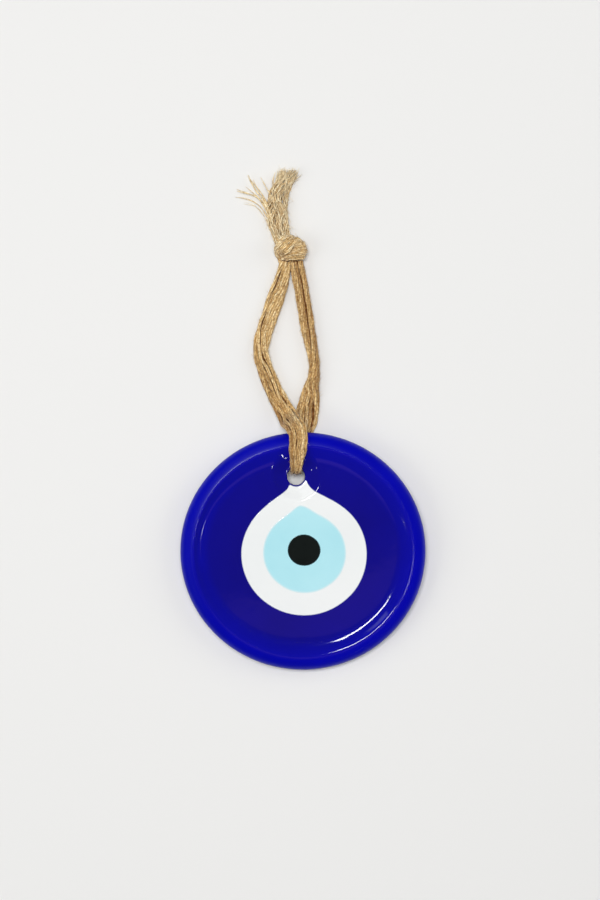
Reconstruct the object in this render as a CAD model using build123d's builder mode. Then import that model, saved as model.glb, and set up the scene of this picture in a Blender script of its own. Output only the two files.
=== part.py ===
from build123d import *
import math
import os

# Evil eye ornament: a poured glass disc with a drop-shaped eye set into its
# face, hung on a loop of flat jute cord that is tied in an overhand knot.
# Millimetres. The ornament lies face up: +Z out of the face, +Y from the
# middle of the eye towards the cord. The origin is under the middle of the
# glass, on the surface it lies on.

# ---------------------------------------------------------------- dimensions
DISC_HALF_X = 40.0        # half width of the hand-poured oval outline
DISC_HALF_Y = 38.8        # half height of the outline
END_R = 38.1              # outline radius at the left and right ends
RIM_T = 8.0               # glass thickness at the crest of the rim
RIM_R = 3.9               # bull-nose radius of the rim
CREST_INSET = 5.2         # outline to the inner edge of the crest
DISH_DEPTH = 1.3          # how far the face lies below the crest
DISH_TAPER = 58.0         # slope of the rim's inner side, from the disc normal
FACE_W = RIM_T - DISH_DEPTH

HOLE_X = -2.27            # cord hole, in the disc's own plane
HOLE_Y = 24.5
HOLE_R = 2.9
CRATER_R = 8.8            # dimple pressed in around the hole

WHITE_T = 2.8             # depths of the three layers let into the face
LIGHT_T = 1.8
PUPIL_T = 1.0
BLUE_RING = 0.35          # blue glass left between the hole and the white drop

CORD_W = 5.0              # flat jute cord, width and thickness
CORD_T = 1.8
BACK_T = 1.5              # the cord is pressed thinner under the glass
CLEAR = 0.3               # running gap between cord and glass

FOLD_Y = 43.5             # hinge line where the two legs of the loop cross
KNUCKLE_R = 1.7
KNUCKLE_GAP = 0.6

KNOT_X0, KNOT_X1 = -9.6, 1.0
KNOT_Y0, KNOT_Y1 = 94.4, 103.0
KNOT_H = 7.2
TAIL_END_Y = 125.0

# The back of the disc stands on its lower edge and on the cord under it.
REST_SPAN = DISC_HALF_Y - RIM_R
TILT = math.degrees(math.atan((BACK_T + CLEAR) / (REST_SPAN + HOLE_Y - HOLE_R)))
SN, CS = math.sin(math.radians(TILT)), math.cos(math.radians(TILT))
DISC_Z = RIM_R + REST_SPAN * SN - RIM_R * CS
DISC = Plane(origin=(0, RIM_T / 2 * SN, DISC_Z), x_dir=(1, 0, 0), z_dir=(0, -SN, CS))
HOLE_SIDE = Plane(
    origin=DISC.from_local_coords(Vector(HOLE_X, HOLE_Y, 0)),
    x_dir=(1, 0, 0),
    z_dir=(0, -CS, -SN),
)
HOLE_AXIS = Axis(HOLE_SIDE.origin, DISC.z_dir)


def disc_point(x, y, w):
    """A point given in the disc's plane (x, y) and height w above its back."""
    p = DISC.from_local_coords(Vector(x, y, w))
    return (p.X, p.Y, p.Z)


def oval(inset):
    """Four tangent arcs, as (start, middle, end), of the outline moved inwards."""
    e = DISC_HALF_X - END_R
    d = DISC_HALF_Y - END_R
    c = (e * e - d * d) / (2 * d)
    side_r = DISC_HALF_Y + c
    k = (side_r - inset) / math.hypot(e, c)
    tx, ty = e * k, c * k - c
    ex, ey = DISC_HALF_X - inset, DISC_HALF_Y - inset
    return [
        ((tx, -ty), (ex, 0), (tx, ty)),
        ((tx, ty), (0, ey), (-tx, ty)),
        ((-tx, ty), (-ex, 0), (-tx, -ty)),
        ((-tx, -ty), (0, -ey), (tx, -ty)),
    ]


# --------------------------------------------------- outlines of the eye's drops
# Each drop is a round belly with two concave flanks that rise to a point.
WHITE_C, WHITE_R = (0.5, -0.6), 20.45
WHITE_LEFT = [(-19.55, 3.2), (-17.2, 9.5), (-12.5, 14.8), (-6.8, 19.2), (-2.6, 22.6)]
WHITE_RIGHT = [(20.55, 3.2), (18.0, 9.5), (13.3, 14.6), (7.4, 18.2), (3.2, 20.6), (0.2, 23.6)]
LIGHT_C, LIGHT_R = (0.55, -0.2), 13.25
LIGHT_LEFT = [(-12.4, 2.9), (-9.6, 8.3), (-6.1, 11.5), (-3.9, 13.2), (-1.6, 14.9)]
LIGHT_RIGHT = [(13.5, 2.9), (10.6, 8.2), (7.1, 11.0), (4.4, 12.5), (1.3, 14.4), (-0.4, 15.15)]
PUPIL_C, PUPIL_R = (0.4, 0.5), 5.35

with BuildSketch(DISC.offset(FACE_W)) as white_outline:
    with BuildLine():
        ThreePointArc(
            WHITE_LEFT[0], (WHITE_C[0], WHITE_C[1] - WHITE_R), WHITE_RIGHT[0]
        )
        Spline(*WHITE_RIGHT)
        Line(WHITE_RIGHT[-1], WHITE_LEFT[-1])
        Spline(*WHITE_LEFT)
    make_face()

with BuildSketch(DISC.offset(FACE_W)) as light_outline:
    with BuildLine():
        ThreePointArc(
            LIGHT_LEFT[0], (LIGHT_C[0], LIGHT_C[1] - LIGHT_R), LIGHT_RIGHT[0]
        )
        Spline(*LIGHT_RIGHT)
        Line(LIGHT_RIGHT[-1], LIGHT_LEFT[-1])
        Spline(*LIGHT_LEFT)
    make_face()

# ---------------------------------------------------------- hole and dimple tool
with BuildPart() as hole_tool:
    with BuildSketch(HOLE_SIDE):
        with BuildLine():
            Polyline((HOLE_R, 4.0), (HOLE_R, -1.0), (0, -1.0), (0, 10.0), (10.6, 10.0), (9.9, 8.1))
            ThreePointArc((9.9, 8.1), (6.0, 5.75), (3.7, 5.0))
            ThreePointArc((3.7, 5.0), (3.1, 4.66), (HOLE_R, 4.0))
        make_face()
    revolve(axis=HOLE_AXIS)

with BuildPart() as ring_tool:
    with BuildSketch(DISC.offset(-1)):
        with Locations((HOLE_X, HOLE_Y)):
            Circle(HOLE_R + BLUE_RING)
    extrude(amount=12)

# -------------------------------------------------------------- glass: the eye
with BuildPart() as pupil:
    with BuildSketch(DISC.offset(FACE_W)):
        with Locations(PUPIL_C):
            Circle(PUPIL_R)
    extrude(amount=-PUPIL_T)
pupil.part.label = "pupil"

with BuildPart() as light_blank:
    add(light_outline.sketch)
    extrude(amount=-LIGHT_T)

with BuildPart() as light_blue_drop:
    add(light_blank.part)
    add(pupil.part, mode=Mode.SUBTRACT)
light_blue_drop.part.label = "light_blue_drop"

with BuildPart() as white_blank:
    add(white_outline.sketch)
    extrude(amount=-WHITE_T)
    add(ring_tool.part, mode=Mode.SUBTRACT)

with BuildPart() as white_drop:
    add(white_blank.part)
    add(light_blank.part, mode=Mode.SUBTRACT)
    add(hole_tool.part, mode=Mode.SUBTRACT)
white_drop.part.label = "white_drop"

# ------------------------------------------------------------- glass: the disc
with BuildPart() as glass_body:
    with BuildSketch(DISC):
        with BuildLine():
            for arc in oval(0):
                ThreePointArc(*arc)
        make_face()
    extrude(amount=RIM_T)
    fillet(glass_body.faces().sort_by(Axis.Z)[0].edges(), RIM_R)
    fillet(glass_body.faces().sort_by(Axis.Z)[-1].edges(), RIM_R)
    with BuildSketch(DISC.offset(RIM_T)):
        with BuildLine():
            for arc in oval(CREST_INSET):
                ThreePointArc(*arc)
        make_face()
    extrude(amount=-DISH_DEPTH, taper=DISH_TAPER, mode=Mode.SUBTRACT)
    # blend the inner slope into the crest and into the face
    floor_edges = glass_body.edges().filter_by(
        lambda e: abs(DISC.to_local_coords(e).bounding_box().max.Z - FACE_W) < 1e-3
    )
    fillet(floor_edges, 3.0)
    crest_edges = glass_body.edges().filter_by(
        lambda e: abs(DISC.to_local_coords(e).bounding_box().min.Z - RIM_T) < 1e-3
        and math.hypot(
            DISC.to_local_coords(e @ 0.5).X / DISC_HALF_X,
            DISC.to_local_coords(e @ 0.5).Y / DISC_HALF_Y,
        ) < 0.885
    )
    fillet(crest_edges, 2.5)
    add(white_blank.part, mode=Mode.SUBTRACT)
    add(hole_tool.part, mode=Mode.SUBTRACT)
glass_body.part.label = "glass_body"

# ------------------------------------------------- cord: through and round the glass
# The hinge line of the fold lies across the cord just outside the rim.
FOLD_Z = KNUCKLE_R
with BuildPart() as fold_clearance:
    with BuildSketch(Plane.YZ.offset(-12)):
        with Locations((FOLD_Y, FOLD_Z)):
            Circle(KNUCKLE_R + KNUCKLE_GAP)
    extrude(amount=24)

HOLE_PASS_TOP = 5.6
with BuildPart() as under_space:
    with BuildSketch(Plane.XY.offset(-6)):
        Rectangle(200, 200)
    extrude(amount=6 + BACK_T)

with BuildPart() as cord_hole_pass:
    with BuildSketch(DISC.offset(-4)):
        with Locations((HOLE_X, HOLE_Y)):
            Circle(HOLE_R - CLEAR)
            with Locations((0, 0.9 - 5)):
                Rectangle(12, 10, mode=Mode.SUBTRACT)
    extrude(amount=4 + HOLE_PASS_TOP)
    add(under_space.part, mode=Mode.SUBTRACT)
cord_hole_pass.part.label = "cord_hole_pass"

# front run: out of the hole, over the crest of the rim and down to the fold
FRONT_X = HOLE_X
FRONT_POINTS = [
    (24.95, 6.45),
    (28.6, 7.1),
    (34.2, 9.9),
    (39.6, 9.0),
    (41.0, 4.0),
    (42.9, -0.4),
]
FRONT_RADII = [3.0, 3.0, 2.6, 3.0]
with BuildPart() as cord_front_run:
    with BuildLine() as front_path:
        FilletPolyline(
            *[disc_point(FRONT_X, y, w) for y, w in FRONT_POINTS], radius=FRONT_RADII
        )
    with BuildSketch(
        Plane(origin=front_path.line @ 0, x_dir=(1, 0, 0), z_dir=front_path.line % 0)
    ):
        RectangleRounded(CORD_W - 0.2, CORD_T - 0.2, 0.6)
    sweep(path=front_path.line)
    add(cord_hole_pass.part, mode=Mode.SUBTRACT)
    add(fold_clearance.part, mode=Mode.SUBTRACT)
cord_front_run.part.label = "cord_front_run"

# back run: flat on the surface under the glass, from the hole out to the fold
BACK_POINTS = [(-2.27, 24.7), (-1.5, 30.0), (0.7, 37.2), (1.7, 43.5)]
BACK_RADII = [9.0, 9.0]
with BuildPart() as cord_back_run:
    with BuildLine(Plane.XY.offset(BACK_T / 2)) as back_path:
        FilletPolyline(*BACK_POINTS, radius=BACK_RADII)
    with BuildSketch(
        Plane(
            origin=back_path.line @ 0,
            x_dir=(back_path.line % 0).cross(Vector(0, 0, 1)),
            z_dir=back_path.line % 0,
        )
    ):
        RectangleRounded(CORD_W, BACK_T, 0.5)
    sweep(path=back_path.line)
    add(fold_clearance.part, mode=Mode.SUBTRACT)
cord_back_run.part.label = "cord_back_run"

# --------------------------------------------------------- cord: the free loop
with BuildPart() as cord_crossing:
    with BuildSketch(Plane.YZ.offset(-6.9)):
        with Locations((FOLD_Y, FOLD_Z)):
            Circle(KNUCKLE_R)
    extrude(amount=11.4)
cord_crossing.part.label = "cord_crossing"

with BuildPart() as cord_knot:
    with BuildSketch(Plane.XY):
        with Locations(((KNOT_X0 + KNOT_X1) / 2, (KNOT_Y0 + KNOT_Y1) / 2)):
            RectangleRounded(KNOT_X1 - KNOT_X0, KNOT_Y1 - KNOT_Y0, 4.0)
    extrude(amount=KNOT_H)
    fillet(cord_knot.faces().sort_by(Axis.Z)[-1].edges(), 3.2)
    fillet(cord_knot.faces().sort_by(Axis.Z)[0].edges(), 1.6)
cord_knot.part.label = "cord_knot"


with BuildPart() as behind_fold:
    with BuildSketch(Plane.XY.offset(-1)):
        with Locations((0, FOLD_Y - 4.1)):
            Rectangle(40, 10)
    extrude(amount=6)


def corner_radii(points):
    """0.45 of the shorter run over the tangent of half the turn, for each corner."""
    radii = []
    for a, b, c in zip(points, points[1:], points[2:]):
        u, v = Vector(*b) - Vector(*a), Vector(*c) - Vector(*b)
        turn = math.radians(u.get_angle(v))
        radii.append(0.45 * min(u.length, v.length) / math.tan(turn / 2))
    return radii


LEFT_POINTS = [
    (-4.4, 44.3),
    (-8.4, 51.0),
    (-13.1, 60.4),
    (-13.8, 68.0),
    (-11.2, 78.6),
    (-8.3, 87.6),
    (-7.4, 95.1),
]
RIGHT_POINTS = [
    (1.7, 44.3),
    (2.9, 51.0),
    (4.0, 59.2),
    (3.0, 67.0),
    (0.6, 77.6),
    (-1.2, 86.8),
    (-2.1, 95.1),
]

with BuildPart() as cord_left_leg:
    with BuildLine(Plane.XY.offset(CORD_T / 2)) as left_path:
        FilletPolyline(*LEFT_POINTS, radius=corner_radii(LEFT_POINTS))
    with BuildSketch(
        Plane(
            origin=left_path.line @ 0,
            x_dir=(left_path.line % 0).cross(Vector(0, 0, 1)),
            z_dir=left_path.line % 0,
        )
    ) as left_section:
        RectangleRounded(CORD_W, CORD_T, 0.7)
    sweep(path=left_path.line)
    left_full = cord_left_leg.part.volume
    add(cord_knot.part, mode=Mode.SUBTRACT)
    add(cord_crossing.part, mode=Mode.SUBTRACT)
    add(behind_fold.part, mode=Mode.SUBTRACT)
cord_left_leg.part.label = "cord_left_leg"

with BuildPart() as cord_right_leg:
    with BuildLine(Plane.XY.offset(CORD_T / 2)) as right_path:
        FilletPolyline(*RIGHT_POINTS, radius=corner_radii(RIGHT_POINTS))
    with BuildSketch(
        Plane(
            origin=right_path.line @ 0,
            x_dir=(right_path.line % 0).cross(Vector(0, 0, 1)),
            z_dir=right_path.line % 0,
        )
    ) as right_section:
        RectangleRounded(CORD_W, CORD_T, 0.7)
    sweep(path=right_path.line)
    right_full = cord_right_leg.part.volume
    add(cord_knot.part, mode=Mode.SUBTRACT)
    add(cord_crossing.part, mode=Mode.SUBTRACT)
    add(behind_fold.part, mode=Mode.SUBTRACT)
cord_right_leg.part.label = "cord_right_leg"

# -------------------------------------------------- cord: the two frayed tails
TAIL_T = 3.4
with BuildPart() as cord_left_tail:
    with BuildSketch(Plane.XY.offset(0.3)):
        with BuildLine():
            Polyline(
                (-9.0, 100.5), (-10.6, 106.5), (-12.9, 112.5), (-13.4, 121.0),
                (-9.6, 124.2), (-7.7, 124.2), (-7.4, 112.0), (-6.5, 100.5),
                close=True,
            )
        make_face()
    extrude(amount=TAIL_T)
    fillet(cord_left_tail.faces().sort_by(Axis.Z)[-1].edges(), 0.9)
    add(cord_knot.part, mode=Mode.SUBTRACT)
cord_left_tail.part.label = "cord_left_tail"

with BuildPart() as cord_right_tail:
    with BuildSketch(Plane.XY.offset(0.3)):
        with BuildLine():
            Polyline(
                (-6.4, 100.5), (-7.3, 112.0), (-7.6, TAIL_END_Y), (-1.4, TAIL_END_Y),
                (-1.3, 123.2), (-4.6, 118.0), (-5.0, 109.0), (-3.6, 100.5),
                close=True,
            )
        make_face()
    extrude(amount=TAIL_T)
    fillet(cord_right_tail.faces().sort_by(Axis.Z)[-1].edges(), 0.9)
    add(cord_knot.part, mode=Mode.SUBTRACT)
cord_right_tail.part.label = "cord_right_tail"

# ----------------------------------------------------------------------- report
print("tilt of the disc, degrees:", round(TILT, 3))
print("left leg radii:", [round(r, 1) for r in corner_radii(LEFT_POINTS)])
print("right leg radii:", [round(r, 1) for r in corner_radii(RIGHT_POINTS)])
for name, path, section, full in (
    ("left leg", left_path, left_section, left_full),
    ("right leg", right_path, right_section, right_full),
):
    length = sum(e.length for e in path.line.edges())
    print(
        name, "length", round(length, 2), "section x length",
        round(section.sketch.area * length, 2), "volume", round(full, 2),
    )
print("front run length", round(sum(e.length for e in front_path.line.edges()), 2))
print("back run length", round(sum(e.length for e in back_path.line.edges()), 2))

# ----------------------------------------------------------------------- export
os.makedirs("parts", exist_ok=True)
export_step(glass_body.part, "parts/glass_body.step")
export_step(white_drop.part, "parts/white_drop.step")
export_step(light_blue_drop.part, "parts/light_blue_drop.step")
export_step(pupil.part, "parts/pupil.step")
export_step(cord_hole_pass.part, "parts/cord_hole_pass.step")
export_step(cord_front_run.part, "parts/cord_front_run.step")
export_step(cord_back_run.part, "parts/cord_back_run.step")
export_step(cord_crossing.part, "parts/cord_crossing.step")
export_step(cord_left_leg.part, "parts/cord_left_leg.step")
export_step(cord_right_leg.part, "parts/cord_right_leg.step")
export_step(cord_knot.part, "parts/cord_knot.step")
export_step(cord_left_tail.part, "parts/cord_left_tail.step")
export_step(cord_right_tail.part, "parts/cord_right_tail.step")
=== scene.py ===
import math

import bpy
import numpy as np
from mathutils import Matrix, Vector


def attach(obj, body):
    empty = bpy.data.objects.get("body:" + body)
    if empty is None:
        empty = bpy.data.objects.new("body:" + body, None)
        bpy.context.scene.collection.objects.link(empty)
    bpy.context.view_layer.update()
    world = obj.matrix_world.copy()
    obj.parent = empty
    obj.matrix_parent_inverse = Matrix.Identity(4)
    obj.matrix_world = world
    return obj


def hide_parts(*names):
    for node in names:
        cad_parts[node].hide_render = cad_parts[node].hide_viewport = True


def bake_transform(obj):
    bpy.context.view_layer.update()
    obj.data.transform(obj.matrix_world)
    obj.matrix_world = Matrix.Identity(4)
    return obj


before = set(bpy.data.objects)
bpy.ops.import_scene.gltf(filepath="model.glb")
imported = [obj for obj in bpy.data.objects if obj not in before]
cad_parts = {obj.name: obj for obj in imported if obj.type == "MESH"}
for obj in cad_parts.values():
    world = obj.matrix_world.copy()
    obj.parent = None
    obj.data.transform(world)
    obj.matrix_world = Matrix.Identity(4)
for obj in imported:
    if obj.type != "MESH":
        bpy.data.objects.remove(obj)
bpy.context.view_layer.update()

MM = 0.001
rng = np.random.default_rng(20)
scene = bpy.context.scene

# ------------------------------------------------------------------ the disc's plane
# The disc leans a little, because its top edge lies on the cord.
RIM_T, RIM_R = 8.0, 3.9
HALF_X, HALF_Y = 40.0, 38.8
HOLE_X, HOLE_Y, HOLE_R = -2.27, 24.5, 2.9
FACE_W = 6.7
REST_SPAN = HALF_Y - RIM_R
TILT = math.atan(1.8 / (REST_SPAN + HOLE_Y - HOLE_R))
SN, CS = math.sin(TILT), math.cos(TILT)
DISC_Z = RIM_R + REST_SPAN * SN - RIM_R * CS


def disc(x, y, w):
    """Points of the disc's own plane (mm) in the row frame (mm)."""
    x, y, w = np.broadcast_arrays(
        np.asarray(x, float), np.asarray(y, float), np.asarray(w, float)
    )
    return np.stack(
        [x, RIM_T / 2 * SN + y * CS - w * SN, DISC_Z + y * SN + w * CS], -1
    )


# ------------------------------------------------------------------------- camera
cam_data = bpy.data.cameras.new("camera")
cam_data.lens = 85.3
cam_data.sensor_width = 36
cam_data.clip_start = 0.01
cam_data.dof.use_dof = False
cam = bpy.data.objects.new("camera", cam_data)
cam.location = (-0.96 * MM, 33.0 * MM, 0.7008)
cam.rotation_euler = (0, 0, 0)
scene.collection.objects.link(cam)
scene.camera = cam
scene.view_settings.view_transform = "Standard"
scene.view_settings.look = "None"

# ------------------------------------------------------------- the loop's own route
# Control points of the cord loop, from the knot down the front leg, over the rim,
# through the hole, back under the glass and up the other leg to the knot.
LEFT_ROUTE = [
    (-5.6, 94.8, 2.3),
    (-6.5, 90.2, 1.44),
    (-8.7, 83.4, 1.18),
    (-12.8, 71.98, 1.09),
    (-14.1, 64.6, 1.07),
    (-12.1, 58.84, 1.27),
    (-9.3, 52.0, 1.8),
    (-6.4, 46.9, 3.0),
    (-4.8, 43.7, 3.9),
]
FRONT_ROUTE = [
    (-3.0, 41.3, 7.2),
    (-1.4, 38.9, 9.3),
    (-1.6, 34.4, 9.6),
    (-1.9, 29.4, 7.7),
    (-2.15, 26.5, 6.5),
    (-2.27, 26.2, 2.6),
    (-2.27, 26.1, -0.9),
]
BACK_ROUTE = [
    (-2.2, 27.4, 0.78),
    (-1.9, 31.0, 0.78),
    (-0.4, 36.6, 0.8),
    (0.7, 41.2, 0.95),
    (1.5, 45.8, 1.1),
    (2.4, 51.63, 1.41),
    (4.0, 58.86, 1.6),
    (3.2, 64.82, 1.5),
    (1.8, 71.93, 1.15),
    (0.1, 82.2, 1.19),
    (-1.1, 88.6, 1.3),
    (-2.2, 94.8, 2.3),
]


def nurbs_line(points_mm, resolution=32):
    """The smooth line of an open NURBS spline with these control points, as points in mm."""
    cu = bpy.data.curves.new("route", "CURVE")
    cu.dimensions = "3D"
    cu.resolution_u = resolution
    sp = cu.splines.new("NURBS")
    sp.points.add(len(points_mm) - 1)
    for p, q in zip(sp.points, points_mm):
        p.co = (q[0] * MM, q[1] * MM, q[2] * MM, 1)
    sp.order_u = 3
    sp.use_endpoint_u = True
    ob = bpy.data.objects.new("route", cu)
    scene.collection.objects.link(ob)
    bpy.context.view_layer.update()
    me = bpy.data.meshes.new_from_object(ob)
    pts = np.array([v.co for v in me.vertices], float) / MM
    bpy.data.objects.remove(ob)
    bpy.data.curves.remove(cu)
    bpy.data.meshes.remove(me)
    return pts


def even(pts, step):
    """The same line, with points a step apart."""
    d = np.r_[0, np.cumsum(np.linalg.norm(np.diff(pts, axis=0), axis=1))]
    n = max(4, int(round(d[-1] / step)) + 1)
    s = np.linspace(0, d[-1], n)
    return np.stack([np.interp(s, d, pts[:, i]) for i in range(3)], -1), s


def unit(v):
    return v / np.maximum(np.linalg.norm(v, axis=-1, keepdims=True), 1e-12)


def tangents(p):
    return unit(np.gradient(p, axis=0))


def smooth(a, width):
    """A moving average along the first axis, with its ends held."""
    if width < 2:
        return a
    k = np.hanning(width * 2 + 1)
    k /= k.sum()
    pad = np.concatenate([np.repeat(a[:1], width, 0), a, np.repeat(a[-1:], width, 0)])
    if a.ndim == 1:
        return np.convolve(pad, k, "valid")
    return np.stack([np.convolve(pad[:, i], k, "valid") for i in range(a.shape[1])], -1)


def wander(n, step, wavelength, amount):
    """A smooth random wave along a line."""
    m = max(4, int(n * step / wavelength) + 4)
    knots = rng.normal(0, 1, m)
    x = np.linspace(0, m - 1.001, n)
    i = x.astype(int)
    f = x - i
    f = f * f * (3 - 2 * f)
    return amount * (knots[i] * (1 - f) + knots[np.minimum(i + 1, m - 1)] * f)


# ------------------------------------------------------------------ mesh collecting
class Soup:
    """Collects tubes into one mesh, with per-point attributes."""

    def __init__(self):
        self.co, self.quads, self.tris, self.n = [], [], [], 0
        self.along, self.deep, self.tint = [], [], []

    def tube(self, path, radius, sides, ref, tint, deep=None, flat=1.0, start=0.0):
        """path in mm; ref gives the direction of the first side of each ring."""
        n = len(path)
        t = tangents(path)
        u = unit(ref - (ref * t).sum(-1, keepdims=True) * t)
        v = np.cross(t, u)
        a = np.arange(sides) * 2 * np.pi / sides
        r = np.broadcast_to(np.asarray(radius, float), (n,))[:, None, None]
        flat = np.broadcast_to(np.asarray(flat, float), (n,))[:, None, None]
        ring = (
            path[:, None, :]
            + r * np.cos(a)[None, :, None] * u[:, None, :] * flat
            + r * np.sin(a)[None, :, None] * v[:, None, :]
        )
        co = ring.reshape(-1, 3)
        caps = np.stack([path[0] - t[0] * r[0, 0, 0] * 0.5, path[-1] + t[-1] * r[-1, 0, 0] * 0.5])
        self.co.append(np.concatenate([co, caps]))
        i = np.arange(n - 1)[:, None] * sides
        j = np.arange(sides)[None, :]
        k = (j + 1) % sides
        base = self.n
        q = np.stack([i + j, i + k, i + sides + k, i + sides + j], -1).reshape(-1, 4)
        self.quads.append(q + base)
        c0, c1 = base + n * sides, base + n * sides + 1
        j = np.arange(sides)
        k = (j + 1) % sides
        self.tris.append(np.stack([np.full(sides, c0), base + k, base + j], -1))
        last = base + (n - 1) * sides
        self.tris.append(np.stack([np.full(sides, c1), last + j, last + k], -1))
        d = np.r_[0, np.cumsum(np.linalg.norm(np.diff(path, axis=0), axis=1))] + start
        self.along.append(np.r_[np.repeat(d, sides), d[0], d[-1]])
        # Without a given value, deep runs from 1 on the ring's side towards ref to 0 on the far side; the jute material
        # darkens low deep as painted shade where the plies press together.
        if deep is None:
            g = np.tile((1 + np.cos(a)) / 2, n)
            self.deep.append(np.r_[g, 0.5, 0.5])
        else:
            self.deep.append(np.full(n * sides + 2, float(deep)))
        shade = np.broadcast_to(np.asarray(tint, float), (n,))
        self.tint.append(np.r_[np.repeat(shade, sides), shade[0], shade[-1]])
        self.n += n * sides + 2

    def mesh(self, name):
        co = np.concatenate(self.co) * MM
        quads = np.concatenate(self.quads)
        tris = np.concatenate(self.tris)
        me = bpy.data.meshes.new(name)
        me.vertices.add(len(co))
        me.vertices.foreach_set("co", co.astype(np.float32).ravel())
        loops = np.concatenate([quads.ravel(), tris.ravel()]).astype(np.int32)
        starts = np.concatenate(
            [np.arange(len(quads)) * 4, len(quads) * 4 + np.arange(len(tris)) * 3]
        ).astype(np.int32)
        me.loops.add(len(loops))
        me.loops.foreach_set("vertex_index", loops)
        me.polygons.add(len(starts))
        me.polygons.foreach_set("loop_start", starts)
        me.update(calc_edges=True)
        for key, data in (("along", self.along), ("deep", self.deep), ("tint", self.tint)):
            at = me.attributes.new(key, "FLOAT", "POINT")
            at.data.foreach_set("value", np.concatenate(data).astype(np.float32))
        me.shade_smooth()
        me.validate()
        ob = bpy.data.objects.new(name, me)
        scene.collection.objects.link(ob)
        return ob


def yarn(soup, path, w, tint, r, step, pitch=2.3, sides=7, sign=1, plies=2, phase=None):
    """A twisted yarn of two plies about a centre line. r is the yarn's radius along it."""
    n = len(path)
    r = np.broadcast_to(np.asarray(r, float), (n,))
    t = tangents(path)
    a = unit(w - (w * t).sum(-1, keepdims=True) * t)
    b = np.cross(t, a)
    s = np.r_[0, np.cumsum(np.linalg.norm(np.diff(path, axis=0), axis=1))]
    th = sign * 2 * np.pi * s / pitch + wander(n, step, 9, 0.6)
    th = th + (rng.uniform(0, 6.28) if phase is None else phase)
    for k in range(plies):
        q = th + 2 * np.pi * k / plies
        e = np.cos(q)[:, None] * a + np.sin(q)[:, None] * b
        centre = path + e * (r * 0.50)[:, None]
        rr = r * (0.57 + wander(n, step, 2.4, 0.04))
        soup.tube(centre, rr, sides, e, tint + rng.normal(0, 0.05), start=rng.uniform(0, 500))


def hairs(soup, anchors, dirs, outs, count, length, radius, spread=0.5, tint=(0.3, 0.9)):
    """Short loose fibres that stand off the yarns."""
    pick = rng.integers(0, len(anchors), count)
    for i in pick:
        out = unit(outs[i] + rng.normal(0, 0.35, 3))
        d = unit(dirs[i] * rng.choice([-1, 1]) + out * rng.uniform(0.1, spread) + rng.normal(0, 0.18, 3))
        ln = rng.uniform(*length)
        bend = rng.normal(0, 0.32, 3)
        p = np.stack([anchors[i] + d * ln * f + bend * ln * f * f for f in np.linspace(0, 1, 6)])
        p[:, 2] = np.maximum(p[:, 2], 0.05)
        rad = rng.uniform(*radius) * np.array([1, 1, 0.9, 0.8, 0.6, 0.3])
        ref = np.broadcast_to(unit(np.cross(d, [0.3, 0.2, 0.9])), (6, 3))
        soup.tube(p, rad, 3, ref, rng.uniform(*tint), deep=0.9, start=rng.uniform(0, 500))


def stadium(q, h, bt):
    """A point on a flat oval of half length h and half height bt. q runs from 0 to 1."""
    p = 4 * h + 2 * np.pi * bt
    d = np.mod(q, 1.0) * p
    a = np.zeros_like(d)
    b = np.zeros_like(d)
    top, end = 2 * h, np.pi * bt
    m = d < top
    a[m], b[m] = (h - d)[m], bt[m]
    m2 = (d >= top) & (d < top + end)
    g = (d - top) / np.maximum(bt, 1e-6)
    a[m2], b[m2] = (-h - bt * np.sin(g))[m2], (bt * np.cos(g))[m2]
    m3 = (d >= top + end) & (d < 2 * top + end)
    a[m3], b[m3] = (-h + (d - top - end))[m3], -bt[m3]
    m4 = d >= 2 * top + end
    g = (d - 2 * top - end) / np.maximum(bt, 1e-6)
    a[m4], b[m4] = (h + bt * np.sin(g))[m4], (-bt * np.cos(g))[m4]
    return a, b


# ------------------------------------------------------------------ the cord's loop
STEP = 0.26
YARNS = 12
front = [tuple(disc(x, y, w)) for x, y, w in FRONT_ROUTE]
route = LEFT_ROUTE + front + BACK_ROUTE
line = nurbs_line(route)
path, s = even(line, STEP)
n = len(path)
T = tangents(path)

# where the line passes through the hole
turn = int(np.argmin(path[:, 1] + np.where((np.arange(n) < n * 0.3) | (np.arange(n) > n * 0.8), 99, 0)))
is_front = np.arange(n) < turn
plan = T.copy()
plan[:, 2] = 0
weight = np.linalg.norm(plan, axis=1)
W = np.cross(plan, [0, 0, 1.0])
W[~is_front] *= -1
W = unit(smooth(W * weight[:, None], 14))
W = unit(W - (W * T).sum(-1, keepdims=True) * T)
N = np.cross(W, T)

# width of the flat cord and how hard the yarns are pressed, along each leg
y = path[:, 1]
wf = np.interp(y, [26.2, 28.5, 33, 38, 40.5, 43.5, 46, 48.5, 51.8, 58.7, 65.0, 72.5, 82.7, 89.7, 94.6],
               [3.9, 4.6, 5.6, 6.3, 6.8, 6.9, 6.7, 6.3, 5.7, 5.3, 5.0, 5.5, 5.7, 4.6, 3.8])
wb = np.interp(y, [25, 27, 30, 36, 41, 45.9, 48.8, 51.8, 55, 58.7, 65.0, 72.5, 82.7, 88.5, 94.6],
               [3.7, 4.2, 4.8, 6.2, 7.2, 7.6, 7.0, 6.0, 4.4, 3.4, 3.8, 4.5, 4.85, 4.8, 4.6])
width = smooth(np.where(is_front, wf, wb), 8)
pf = np.interp(y, [25, 27, 31, 38, 43], [0.70, 0.78, 0.92, 1.0, 1.0])
pb = np.interp(y, [25, 38, 42.5], [0.70, 0.74, 1.0])
press = smooth(np.where(is_front, pf, pb), 8)
extent = width / 2 - 0.52 * press
around = YARNS * 0.9 * press
thick = np.clip((around - 4 * extent) / (2 * np.pi - 4), 0.5 * press, 1.1 * press)
thick = np.minimum(thick, extent - 0.05)
half = extent - thick
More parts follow.
